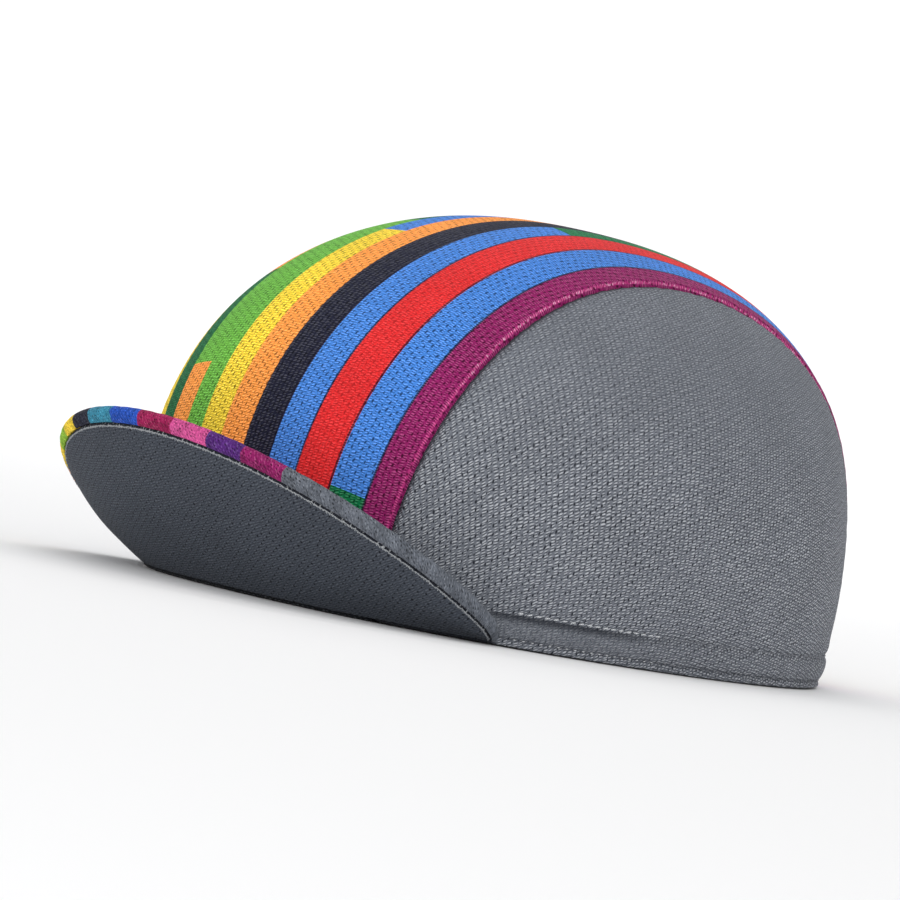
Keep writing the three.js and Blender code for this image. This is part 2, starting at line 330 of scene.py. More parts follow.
# A thread along a path: a circle set square to the path, from its tangent and an outward way
def threadAlong(name, path, out, thickness, material):
    sides = 6
    tangent = unit(np.gradient(path, axis=0))
    side = unit(np.cross(tangent, out))
    lift = np.cross(side, tangent)
    turn = np.arange(sides) * 2 * np.pi / sides
    ringWay = side[:, None] * np.cos(turn)[None, :, None] + lift[:, None] * np.sin(turn)[None, :, None]
    points = path[:, None] + ringWay * thickness / 2
    ends = np.stack([path[0] - tangent[0] * thickness * 0.4, path[-1] + tangent[-1] * thickness * 0.4])
    rings = len(path)
    quads = gridQuads(rings, sides, wrapColumns=True)
    length = runningLength(path, 0) / mm
    uv = np.stack(np.broadcast_arrays(length[:, None], (turn * thickness / 2 / mm)[None]), -1).reshape(-1, 2)
    uv = np.vstack([uv, uv[:1], uv[-1:]])
    points = np.vstack([points.reshape(-1, 3), ends])
    piece = makePiece(name, points, np.vstack([quads, endFans(rings, sides)]), {"cloth": uv}, [material])


# Shader tools

# What a node gives, so that sums of such values read as plain arithmetic
class Value:
    def __init__(self, cloth, socket):
        self.cloth = cloth
        self.socket = socket

    def __add__(self, other):
        return self.cloth.math("ADD", self, other)

    def __sub__(self, other):
        return self.cloth.math("SUBTRACT", self, other)

    def __mul__(self, other):
        return self.cloth.math("MULTIPLY", self, other)

    def __truediv__(self, other):
        return self.cloth.math("DIVIDE", self, other)


# A material with a node tree, and short ways to add nodes whose inputs are numbers or values
class Cloth:
    def __init__(self, name, roughness, sheen):
        self.material = bpy.data.materials.new(name)
        self.material.use_nodes = True
        self.tree = self.material.node_tree
        self.shader = self.tree.nodes["Principled BSDF"]
        self.feedNamed(self.shader, {"Roughness": roughness, "Specular IOR Level": 0.12,
                                     "Sheen Weight": sheen, "Sheen Roughness": 0.45})

    def feed(self, socket, value):
        if isinstance(value, Value):
            self.tree.links.new(value.socket, socket)
        else:
            socket.default_value = value

    def feedNamed(self, node, table):
        for key, value in table.items():
            self.feed(node.inputs[key], value)

    # a new node with its settings, its inputs fed in their order
    def node(self, kind, *values, **settings):
        node = self.tree.nodes.new(kind)
        for key, setting in settings.items():
            setattr(node, key, setting)
        for socket, value in zip(node.inputs, values):
            self.feed(socket, value)
        return node

    def math(self, operation, *values):
        return Value(self, self.node("ShaderNodeMath", *values, operation=operation).outputs[0])

    def most(self, first, second):
        return self.math("MAXIMUM", first, second)

    # a place on a map as one vector, and as its two coordinates
    def place(self, mapName):
        return Value(self, self.node("ShaderNodeUVMap", uv_map=mapName).outputs[0])

    def coordinates(self, mapName):
        parts = self.node("ShaderNodeSeparateXYZ", self.place(mapName))
        return Value(self, parts.outputs[0]), Value(self, parts.outputs[1])

    # a soft step between two values, from one number to another
    def smooth(self, value, low, high, toLow=0.0, toHigh=1.0):
        node = self.node("ShaderNodeMapRange", value, low, high, toLow, toHigh,
                         interpolation_type="SMOOTHSTEP")
        return Value(self, node.outputs[0])

    def blend(self, amount, first, second, kind="MIX"):
        node = self.node("ShaderNodeMix", amount, data_type="RGBA", blend_type=kind)
        self.feed(node.inputs[6], first)
        self.feed(node.inputs[7], second)
        return Value(self, node.outputs[2])

    def noise(self, vector, scale, detail=2.0, roughness=0.5):
        node = self.node("ShaderNodeTexNoise")
        self.feedNamed(node, {"Vector": vector, "Scale": scale, "Detail": detail, "Roughness": roughness})
        return Value(self, node.outputs[0])

    # a random number from 0 to 1 for a pair of whole numbers, the same in every run
    def chance(self, first, second):
        pair = Value(self, self.node("ShaderNodeCombineXYZ", first, second).outputs[0])
        return Value(self, self.node("ShaderNodeTexWhiteNoise", pair, noise_dimensions="2D").outputs[0])

    # constant steps of colour from a table of places and colours
    def steps(self, value, table):
        node = self.node("ShaderNodeValToRGB", value)
        ramp = node.color_ramp
        ramp.interpolation = "CONSTANT"
        for place, shade in table[1:]:
            ramp.elements.new(place).color = shade
        ramp.elements[0].position = 0
        ramp.elements[0].color = table[0][1]
        last = len(ramp.elements) - 1
        if ramp.elements[last].position >= 1.0:
            ramp.elements.remove(ramp.elements[last])
        return Value(self, node.outputs[0])

    # one slanted oval mark in every cell of a lattice of staggered columns: 1 on it, 0 off it
    def marks(self, u, v, mark):
        across = v / mark["columns"] + mark["aside"]
        column = self.math("FLOOR", across)
        place = u / mark["pitch"] + column * mark["stagger"] + mark["shift"]
        cell = self.math("FLOOR", place)
        luck, turn = self.chance(cell, column), self.chance(column, cell)
        along = (self.math("FRACT", place) + (luck - 0.5) * mark["stray"] - 0.5) * mark["pitch"]
        across = (self.math("FRACT", across) + (turn - 0.5) * mark["stray"] - 0.5) * mark["columns"]
        cos, sin = math.cos(mark["slant"] * degree), math.sin(mark["slant"] * degree)
        longWay = self.math("ABSOLUTE", (along * cos + across * sin) / mark["long"])
        wideWay = self.math("ABSOLUTE", (across * cos - along * sin) / mark["wide"])
        away = self.math("SQRT", self.math("POWER", longWay, 2.0) + self.math("POWER", wideWay, 2.0))
        return self.smooth(away + turn * mark["uneven"], 0.55, 1.2, 1.0, 0.0)

    # a colour times a factor plus an amount
    def scaled(self, shade, factor, amount):
        factors, amounts = (factor,) * 3, (amount,) * 3
        node = self.node("ShaderNodeVectorMath", shade, factors, amounts, operation="MULTIPLY_ADD")
        return Value(self, node.outputs[0])

    def finish(self, shade, height, strength, distance):
        bump = self.node("ShaderNodeBump")
        self.feedNamed(bump, {"Strength": strength, "Distance": distance, "Height": height})
        self.feedNamed(self.shader, {"Base Color": shade, "Normal": Value(self, bump.outputs[0])})
        return self.material


# Materials, with lengths in millimetres

# Columns of loops with a hole at every third loop, each column's holes a third of the way further on
# than its neighbour's, and light strands with dips across between them
loops = {"columns": 1.52, "holePitch": 2.30, "strandPitch": 2.30 / 3}


# A lattice of marks: the columns' width, the pitch along them, how far on each next column starts,
# the marks' slant in degrees, half length and half width, and how uneven and how far astray they are
def lattice(columns, pitch, stagger, slant, long, wide, uneven, stray, shift=0.0, aside=0.0):
    return {"columns": columns, "pitch": pitch, "stagger": stagger, "slant": slant, "long": long,
            "wide": wide, "uneven": uneven, "stray": stray, "shift": shift, "aside": aside}


# The three lattices of the mesh knit
def meshKnit(stagger, holeLong=0.62, holeWide=0.29, holeSlant=10.0, slant=72.0):
    columns, pitch = loops["columns"], loops["strandPitch"]
    return {
        "hole": lattice(columns, loops["holePitch"], stagger, holeSlant, holeLong, holeWide, 0.40, 0.16),
        "strand": lattice(columns, pitch, 3 * stagger, slant, 0.74, 0.25, 0.50, 0.26, aside=0.5),
        "dip": lattice(columns, pitch, 3 * stagger, slant, 0.70, 0.20, 0.35, 0.20, shift=0.5, aside=0.5),
    }


greyMesh = {
    **meshKnit(-1 / 3),
    "upright": True,             # the columns run up the side panels
    "base": colour(110, 114, 122),
    "light": colour(192, 195, 201),
    "dark": colour(34, 37, 45),
    # painted shade and painted light on the turn-up's folds
    "foldDark": colour(90, 94, 102),
    "foldLight": colour(124, 128, 135),
    "gatherPitch": 1.5,          # beside the seam, in millimetres from it
    "gatherTo": (0.8, 3.6),
    "shadowTo": (0.15, 1.3),
    "cornerFrom": (50, 58),      # round the rim past the peak, in degrees from the front
    "cornerTo": (74, 98),
    # round to here, under the peak, the lowest cloth gets painted shade
    "peakTo": (56.5, 58.0),
    "foldPitch": 0.8,
    "turnFrom": (1.8, 3.2),      # the turn-up, in millimetres above the rim
    "turnTo": (7.6, 8.8),
    "lineFrom": (5.8, 8.2),      # painted shade in the recess under its stitches
    "lineTo": (8.5, 8.9),
    # painted shade on the lowest cloth, and in the groove over the rolled edge
    "lowestTo": (1.6, 2.4),
    "grooveAt": 2.3,
    "grooveReach": (0.1, 0.7),
    "slackFrom": (38, 84),       # higher up the knit shows less
}
stripedMesh = {
    **meshKnit(1 / 3, holeLong=0.74, holeWide=0.33),
    "strandShare": 0.95,
    "dipShare": 0.55,
    "line": colour(26, 16, 40),
    "lineShare": 0.0035,
    "linedFrom": 0.62,           # the stripes past this share have thin dark lines between them
    # painted highlight along the panel's folded edges, and a painted glint on it high up
    "leftEdge": colour(206, 66, 136),
    "leftGlint": colour(240, 190, 216),
    "rightEdge": colour(252, 230, 120),
    "rightGlint": colour(255, 247, 206),
    "edgeFrom": (0.4900, 0.4935),   # shares of the width from the middle
    "edgeTo": (0.4955, 0.4975),
    "glintFrom": (62.0, 92.0),   # millimetres back from the front rim
    "boundFront": 2.6,           # under the peak this much of the front edge gets the peak mesh's darkest colour: painted shade
}
peakMesh = {
    **meshKnit(0.5, holeLong=0.44, holeWide=0.30, holeSlant=32.0),
    "upright": True,
    "strandShare": 0.40,
    "base": colour(69, 74, 83),
    "light": colour(112, 117, 126),
    "dark": colour(20, 22, 29),
    "edge": colour(168, 171, 174),
    "grooveTo": (0.04, 0.12),    # millimetres in from the free border: painted shade in the groove
    "lineFrom": (0.08, 0.16),
    "lineTo": (0.34, 0.60),
}
paleMesh = {
    **meshKnit(1 / 3, holeLong=0.72, holeWide=0.26, holeSlant=-14.0),
    "upright": True,
    "base": colour(208, 215, 228),
    "light": colour(240, 243, 250),
    "dark": colour(118, 130, 156),
}
# a close brushed knit for the peak's upper cloth: fine short marks
brushedKnit = {
    "hole": lattice(0.85, 1.15, 0.5, 30, 0.42, 0.24, 0.8, 0.5),
    "strand": lattice(0.80, 1.25, 0.5, 55, 0.60, 0.20, 0.7, 0.5, shift=0.5),
    "dip": lattice(1.9, 2.6, 0.4, 15, 0.9, 0.5, 0.8, 0.5),
    "strandShare": 0.75,
    "dipShare": 0.40,
    "wander": 0.006,             # how uneven the runs of colour end, as a share of their span
}
# a plain lower fold, a lighter strip over the stitches and a dark gathered strip on top
sweatTowel = {
    "hole": lattice(0.62, 0.9, 0.5, 0, 0.30, 0.15, 0.5, 0.3),
    "strand": lattice(0.62, 0.9, 0.5, 0, 0.34, 0.17, 0.6, 0.3, shift=0.5),
    "dip": lattice(1.6, 1.3, 0.5, 90, 0.8, 0.3, 0.6, 0.4),
    "strandShare": 0.45,
    "base": colour(52, 47, 36),
    "strips": [(5.6, 6.4, colour(64, 58, 44)), (10.4, 11.6, colour(42, 35, 26))],
}
elasticCover = {
    "hole": lattice(0.52, 2.4, 0.37, 0, 1.0, 0.13, 0.5, 0.3),
    "strand": lattice(0.52, 2.4, 0.37, 0, 1.05, 0.15, 0.4, 0.3, shift=0.5, aside=0.5),
    "dip": lattice(3.0, 5.0, 0.5, 0, 2.2, 0.3, 0.6, 0.5),
    "strandShare": 0.5,
    "base": colour(58, 50, 38),
    "strips": [(14.6, 15.2, colour(76, 66, 50))],
}
boundEdge = {
    **sweatTowel,
    "base": colour(40, 38, 34),
    "light": colour(74, 70, 60),
    "dark": colour(16, 14, 12),
    "strips": [],
}

shades = {
    "magenta": colour(142, 30, 96),
    "blue": colour(68, 130, 214),
    "red": colour(226, 44, 46),
    "green": colour(16, 118, 70),
    "navy": colour(28, 30, 50),
    "orange": colour(255, 158, 70),
    "yellow": colour(250, 216, 58),
    "lightGreen": colour(108, 182, 66),
    "darkGreen": colour(6, 104, 58),
    "grey": colour(104, 109, 118),
    "pink": colour(214, 84, 150),
    "purple": colour(84, 38, 118),
    "teal": colour(56, 140, 168),
    "royal": colour(34, 84, 190),
    "lime": colour(142, 188, 46),
    "crimson": colour(160, 26, 84),
}

# The centre panel's stripes from the wearer's right seam to the left one: the share across at
# which each begins, its colour at the front, its colour at the back and how far back it changes
stripes = [
    (0.000, "yellow", "yellow", 200),
    (0.120, "darkGreen", "orange", 96),
    (0.205, "orange", "lightGreen", 58),
    (0.295, "lightGreen", "darkGreen", 130),
    (0.370, "yellow", "blue", 118),
    (0.455, "orange", "orange", 200),
    (0.545, "navy", "navy", 200),
    (0.640, "blue", "green", 152),
    (0.729, "red", "red", 200),
    (0.829, "green", "blue", 34),
    (0.925, "magenta", "magenta", 200),
]
stripeSpan = 400.0               # longer than any stripe, so that lengths fit in a ramp from 0 to 1

# Runs of colour round the peak's free edge from the wearer's right to the left: the place along it
# from its middle at which each begins, and its colour
edgeRuns = [
    (-200, "grey"), (-96, "orange"), (-80, "yellow"), (-66, "lime"), (-53, "yellow"), (-42, "navy"),
    (-29, "teal"), (-16, "royal"), (-3, "crimson"), (11, "pink"), (25, "purple"), (36, "magenta"),
    (50, "grey"),
]
edgeSpan = 200.0


# A knit: base colour with light raised strands, dark dips between them and darker holes, all a
# little out of line, and slow and fine changes of tone
def knitFinish(name, spec, base=None, over=None, contrast=None, bumpDepth=0.16 * mm, roughness=0.88,
               sheen=0.03):
    cloth = Cloth(name, roughness, sheen)
    place = cloth.place("cloth")
    u, v = cloth.coordinates("cloth")
    u = u + (cloth.noise(place, 0.42, 1.0) - 0.5) * 0.9
    v = v + (cloth.noise(place, 0.31, 1.0) - 0.5) * 0.9
    if spec.get("upright"):
        u, v = v, u
    hole, strand, dip = (cloth.marks(u, v, spec[layer]) for layer in ("hole", "strand", "dip"))
    shade = base(cloth, spec) if base else spec["base"]
    lit = spec.get("light") or cloth.scaled(shade, 1.55, 0.055)
    sunk = spec.get("dark") or cloth.scaled(shade, 0.20, 0.0)
    full = contrast(cloth, shade) if contrast else 1.0
    share = spec.get("strandShare", 0.80)
    dipShare = spec.get("dipShare", 0.75 * share)
    for layer, amount, towards in ((dip, dipShare, sunk), (strand, share, lit), (hole, 0.92, sunk)):
        shade = cloth.blend(layer * amount * full, shade, towards)
    slow = cloth.smooth(cloth.noise(place, 0.045, 3.0), 0.3, 0.7, 0.95, 1.05)
    fine = cloth.smooth(cloth.noise(place, 1.9, 2.0, 0.6), 0.25, 0.75, 0.76, 1.24)
    tone = slow * fine
    grey = Value(cloth, cloth.node("ShaderNodeCombineColor", tone, tone, tone).outputs[0])
    shade = cloth.blend(1.0, shade, grey, "MULTIPLY")
    height = strand * 0.5 - cloth.most(hole, dip)
    if over:
        shade, height = over(cloth, shade, height)
    return cloth.finish(shade, height, 0.7, bumpDepth)


# The stripes: two ramps of constant steps across, chosen by how far back each stripe changes
def stripeBase(cloth, spec):
    along, share = cloth.coordinates("panel")
    front = cloth.steps(share, [(row[0], shades[row[1]]) for row in stripes])
    back = cloth.steps(share, [(row[0], shades[row[2]]) for row in stripes])
    turn = cloth.steps(share, [(row[0], (row[3] / stripeSpan,) * 3 + (1,)) for row in stripes])
    shade = cloth.blend(cloth.math("GREATER_THAN", along, turn * stripeSpan), front, back)
    nearest = 1.0
    for at in [row[0] for row in stripes if row[0] > spec["linedFrom"]]:
        nearest = cloth.math("MINIMUM", cloth.math("ABSOLUTE", share - at), nearest)
    line = cloth.smooth(nearest, spec["lineShare"] * 0.5, spec["lineShare"], 0.85, 0.0)
    shade = cloth.blend(line, shade, spec["line"])
    # the panel's folded edges get a painted highlight, with a painted glint on it high up
    edge = cloth.math("ABSOLUTE", share - 0.5)
    isLeft = cloth.math("GREATER_THAN", share, 0.5)
    bright = cloth.smooth(edge, *spec["edgeFrom"], 0.0, 0.60) * cloth.smooth(edge, *spec["edgeTo"], 1.0, 0.0)
    shade = cloth.blend(bright, shade, cloth.blend(isLeft, spec["rightEdge"], spec["leftEdge"]))
    glint = cloth.smooth(cloth.noise(cloth.place("cloth"), 1.3, 2.0), 0.50, 0.64, 0.0, 0.9)
    glint = bright * glint * cloth.smooth(along, *spec["glintFrom"])
    shade = cloth.blend(glint, shade, cloth.blend(isLeft, spec["rightGlint"], spec["leftGlint"]))
    # painted shade under the peak: the front edge takes the peak mesh's darkest colour
    return cloth.blend(cloth.math("LESS_THAN", along, spec["boundFront"]), shade, peakMesh["dark"])


# The peak's upper cloth: runs of colour along the edge, the same all the way in to the seam, mottled
def edgeRunBase(cloth, spec):
    place = cloth.place("panel")
    wander = (cloth.noise(place, 0.35, 1.0) - 0.5) * spec["wander"]
    share = cloth.coordinates("panel")[0] / edgeSpan + 0.5 + wander
    shade = cloth.steps(share, [(max(at / edgeSpan + 0.5, 0.0), shades[name]) for at, name in edgeRuns])
    deep = cloth.smooth(cloth.noise(place, 0.22, 3.0), 0.35, 0.65, 0.0, 0.5)
    shade = cloth.blend(deep, shade, cloth.scaled(shade, 0.45, 0.0))
    # lighter patches, partly the melange's own flecks and partly painted sheen of its fuzz
    fleckAndSheen = cloth.smooth(cloth.noise(place, 0.8, 3.0, 0.7), 0.48, 0.72, 0.0, 0.5)
    return cloth.blend(fleckAndSheen, shade, cloth.scaled(shade, 1.3, 0.06))


# Strips of a band by height, each from one level to the next above the base colour
def stripBase(cloth, spec):
    level = cloth.coordinates("cloth")[1]
    shade = spec["base"]
    for low, high, strip in spec["strips"]:
        shade = cloth.blend(cloth.smooth(level, low, high), shade, strip)
    return shade


# Under the peak the cloth's cut edge shows as a thin light uneven line, beside the groove, whose border gets
# painted shade
def frayedEdge(cloth, shade, height):
    inset = cloth.coordinates("panel")[1]
    reach = inset + (cloth.noise(cloth.place("cloth"), 1.4, 2.0) - 0.5)
    line = cloth.smooth(reach, *peakMesh["lineFrom"]) * cloth.smooth(reach, *peakMesh["lineTo"], 0.95, 0.0)
    # painted shade on the border beside the groove
    shade = cloth.blend(cloth.smooth(inset, *peakMesh["grooveTo"], 0.8, 0.0), shade, peakMesh["dark"])
    return cloth.blend(line, shade, peakMesh["edge"]), height


# Side panels: short gathers beside the seam with painted shade in their hollows and a painted shadow beside
# it, and a plainer gathered turn-up at the rim whose folds get painted light and shade, with painted shade in
# the recess under its stitches, strongest past the peak's corner, on the lowest cloth under the peak and in
# the groove at its edge
def gatheredEdges(cloth, shade, height):
    spec = greyMesh
    run, toSeam = cloth.coordinates("seam")
    wobble = cloth.noise(cloth.place("cloth"), 0.7, 2.0)
    gather = cloth.math("SINE", run * (2 * math.pi / spec["gatherPitch"]) + wobble * 9.0)
    near = cloth.smooth(toSeam, *spec["gatherTo"], 1.0, 0.0)
    # painted shade in the gathers' hollows, and a painted shadow beside the seam
    dark = cloth.smooth(gather, 0.1, 0.9, 0.0, 0.65) * near
    dark = cloth.most(dark, cloth.smooth(toSeam, *spec["shadowTo"], 0.80, 0.0))
    height = height + gather * near * -1.1
    turned, level = cloth.coordinates("hem")
    atCorner = cloth.smooth(turned, *spec["cornerFrom"]) * cloth.smooth(turned, *spec["cornerTo"], 1.0, 0.12)
    inTurn = cloth.smooth(level, *spec["turnFrom"]) * cloth.smooth(level, *spec["turnTo"], 1.0, 0.0)
    inTurn = inTurn * atCorner
    fold = cloth.math("SINE", turned * (2 * math.pi / spec["foldPitch"]) + wobble * 26.0 + level * 0.9)
    # the turn-up's folds get painted light and shade from the same wave that bumps them
    plain = cloth.blend(cloth.smooth(fold, -0.8, 0.8), spec["foldDark"], spec["foldLight"])
    shade = cloth.blend(inTurn * 0.62, shade, plain)
    height = height + fold * inTurn * 0.25
    # painted shade in the recess under the stitches, past the peak's corner
    below = cloth.smooth(level, *spec["lineFrom"], 0.0, 0.80) * cloth.smooth(level, *spec["lineTo"], 1.0, 0.0)
    dark = cloth.most(dark, below * atCorner)
    # painted shade on the lowest cloth under the peak
    lowest = cloth.smooth(level, *spec["lowestTo"], 1.0, 0.0)
    dark = cloth.most(dark, cloth.smooth(turned, *spec["peakTo"], 0.95, 0.0) * lowest)
    # painted shade in the groove over the rolled edge
    groove = cloth.math("ABSOLUTE", level - spec["grooveAt"])
    dark = cloth.most(dark, cloth.smooth(groove, *spec["grooveReach"], 0.35, 0.0))
    return cloth.blend(dark, shade, spec["dark"]), height


# The knit shows its marks more strongly near the rim than higher up
def lessUpwards(cloth, shade):
    return cloth.smooth(cloth.coordinates("hem")[1], *greyMesh["slackFrom"], 1.0, 0.42)


# The dense red print covers its knit more than the other colours do: red over 2.5 times green
def lessOnRed(cloth, shade):
    parts = cloth.node("ShaderNodeSeparateColor", shade)
    redness = Value(cloth, parts.outputs[0]) - Value(cloth, parts.outputs[1]) * 2.5
    return cloth.smooth(redness, 0.32, 0.62, 1.0, 0.52)


# Twisted thread: fine slanted bands round it, lighter on the strands
def threadFinish(name, base, dark):
    cloth = Cloth(name, 0.6, 0.1)
    u, v = cloth.coordinates("cloth")
    strand = cloth.math("SINE", u * (2 * math.pi / 0.55) + v * 9.0) * 0.5 + 0.5
    shade = cloth.blend(cloth.smooth(strand, 0.0, 0.6), dark, base)
    return cloth.finish(shade, strand, 0.5, 0.05 * mm)


greyMeshCloth = knitFinish("grey mesh cloth", greyMesh, over=gatheredEdges, contrast=lessUpwards)
stripedCloth = knitFinish("striped mesh cloth", stripedMesh, stripeBase, contrast=lessOnRed)
paleMeshCloth = knitFinish("pale mesh reverse", paleMesh)
peakMeshCloth = knitFinish("peak mesh cloth", peakMesh, over=frayedEdge)
peakTopCloth = knitFinish("peak upper cloth", brushedKnit, edgeRunBase, bumpDepth=0.09 * mm)
sweatTowelCloth = knitFinish("sweatband towelling", sweatTowel, stripBase, roughness=0.95, sheen=0.15)
elasticBandCloth = knitFinish("elastic cover cloth", elasticCover, stripBase, roughness=0.9)
boundEdgeCloth = knitFinish("bound lower edge", boundEdge)
threadPale = threadFinish("pale thread", colour(226, 230, 238), colour(150, 156, 172))
threadGrey = threadFinish("grey thread", colour(232, 233, 236), colour(160, 164, 170))
# a darker copy of the grey thread for the stitches further back: painted shade
threadShadedCopy = threadFinish("shaded copy of grey thread", colour(138, 141, 148), colour(82, 86, 94))
threadBrown = threadFinish("brown thread", colour(196, 184, 152), colour(120, 108, 80))
threadEdge = threadFinish("peak edge thread", colour(172, 175, 178), colour(104, 108, 114))
print("cloth materials made")


# Panels

hem = {
    "stitchHeight": 9.0 * mm,    # the stitched line above the rim
    "edgeHeight": 2.3 * mm,      # the groove over the rolled edge
    "puff": 0.75 * mm,
    "groove": 0.55 * mm,
    "startAngle": 50,            # the hem shows from here back, past the peak's corners
    "fullAngle": 62,
    "brightAngle": 92,           # back to here the stitches get the bright thread, further back its darker copy, painted shade
}
# Ridges and grooves along the hem: height above the rim, width and how far they stand out
hemRidges = [
    (0.9 * mm, 0.9 * mm, 0.35 * mm),
    (hem["edgeHeight"], 0.45 * mm, -0.55 * hem["groove"]),
    (hem["stitchHeight"], 0.8 * mm, -hem["groove"]),
    (hem["stitchHeight"] + 2.6 * mm, 1.8 * mm, 0.25 * mm),
]
pucker = {
    "waves": [(4.4, 1.0, 0.3), (6.7, 0.7, 1.9), (10.3, 0.5, 4.1)],   # length in mm, weight, phase
    "seamDepth": 0.20 * mm,
    "seamReach": 4.5 * mm,
    "hemDepth": 0.16 * mm,
    "hemReach": 3.6 * mm,
}


# Uneven ripples along a stitched line: a sum of sines of unlike lengths over the sum of their weights
def ripples(along):
    waves = pucker["waves"]
    total = sum(weight * np.sin(2 * np.pi * along / mm / length + phase) for length, weight, phase in waves)
    return total / sum(weight for length, weight, phase in waves)


# Puckers beside the seam: depth times exp(-distance from the seam / reach) times the ripples
def seamPuckers(toSeam, along):
    return pucker["seamDepth"] * np.exp(-toSeam / pucker["seamReach"]) * ripples(along)


# Hem relief by height above the rim: a puffed turn-up, sin(pi t)^0.8, the ridges and grooves, and
# ripples that fall off from the stitched line
def hemRelief(height, around, along):
    shown = softStep(hem["startAngle"], hem["fullAngle"], np.abs(around) / degree)
    top, edge = hem["stitchHeight"], hem["edgeHeight"]
    inPuff = np.clip((height - edge) / (top - edge), 0, 1)
    relief = hem["puff"] * np.sin(np.pi * inPuff) ** 0.8 + ridged(height, hemRidges)
    drawn = pucker["hemDepth"] * bell(height, top, pucker["hemReach"]) * ripples(along)
    return (relief + drawn) * shown


centrePanel = {
    "long": 290,
    "across": 96,
    "crowdLong": 0.45,
    "crowdAcross": 0.62,
    "roll": 0.68 * mm,
    "ridges": [(1.5 * mm, 0.9 * mm, 0.22 * mm), (0.0, 0.55 * mm, -0.85 * mm)],   # beside the seam
    "puckerShare": 0.4,
    "puckerShift": 2 * mm,
}
sidePanel = {
    "long": 330,
    "tall": 112,
    "crowdTall": 0.66,
    "roll": 0.68 * mm,
    "pole": (1.0, 0.16, 0.50),   # the middle of the flat cloth
    "ridges": [(0.0, 0.9 * mm, -0.75 * mm), (3.2 * mm, 1.6 * mm, 0.20 * mm)],
    "flatUpTo": 6 * mm,          # a panel lower than this, at its ends, has less relief
}


# Centre panel: over the top by rows and out to the seams by columns, with its relief over the crown:
# proud of the side panels, less so behind, with the hem at the back rim and puckers along the seams
def centrePanelCloth():
    low = math.atan2(crown["edgeLift"], crown["frontReach"])
    high = math.pi - math.atan2(crown["edgeLift"], crown["backReach"])
    over = mix(low, high, crowded(centrePanel["long"], centrePanel["crowdLong"]))[:, None]
    share = (2 * crowded(centrePanel["across"], centrePanel["crowdAcross"]) - 1)[None, :]
    edge = asideAngle(over[:, 0], seamDistance(over[:, 0]) - seam["gap"] / 2)[:, None]
    direction = fanDirection(over, share * edge)
    flat = crownPoint(direction)
    across = runningLength(flat, 1)
    toSeam = np.minimum(across, across[:, -1:] - across)
    along = runningLength(flat[:, flat.shape[1] // 2], 0)[:, None] + 0 * across
    around = np.arctan2(direction[..., 0], -direction[..., 1])
    relief = mix(seam["proud"], seam["proudBehind"], softStep(*seam["settling"], over)) + 0 * across
    relief = relief + hemRelief(along[-1:] - along + crown["edgeLift"], around, flat[..., 0])
    relief = relief + ridged(toSeam, centrePanel["ridges"])
    relief = relief + centrePanel["puckerShare"] * seamPuckers(toSeam, along + centrePanel["puckerShift"])
    outer = crownPoint(direction, relief)
    inner = crownPoint(direction, np.full_like(across, -crown["wall"]))
    cloth = np.stack([along, across - across[:, -1:] / 2], -1) / mm
    panel = np.stack([along / mm, across / across[:, -1:]], -1)
    piece = closedShell("centre_panel_cloth", outer, inner, {"cloth": cloth, "panel": panel},
                        [stripedCloth, paleMeshCloth, boundEdgeCloth], centrePanel["roll"],
                        edged=lambda i, j: np.minimum(i, centrePanel["long"] - 1 - i))
    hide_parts("centre_panel")


# Flat cloth coordinates of a side panel: the length of the way over the crown from the panel's
# pole to the point, set out in the direction in which that way starts
def clothFromPole(direction, pole):
    pole = unit(np.array(pole))
    angle = np.arccos(np.clip(direction @ pole, -1, 1))
    length = np.zeros(angle.shape)
    before = crownPoint(unit(pole * np.sin(angle)[..., None]))
    for t in np.linspace(0, 1, 17)[1:]:
        way = pole * np.sin((1 - t) * angle)[..., None] + direction * np.sin(t * angle)[..., None]
        here = crownPoint(unit(way))
        length += np.linalg.norm(here - before, axis=-1)
        before = here
    back = unit(np.cross(np.array([0, 0, 1.0]), pole))
    upward = np.cross(pole, back)
    heading = np.stack([direction @ back, direction @ upward], -1)
    return unit(heading) * length[..., None] / mm


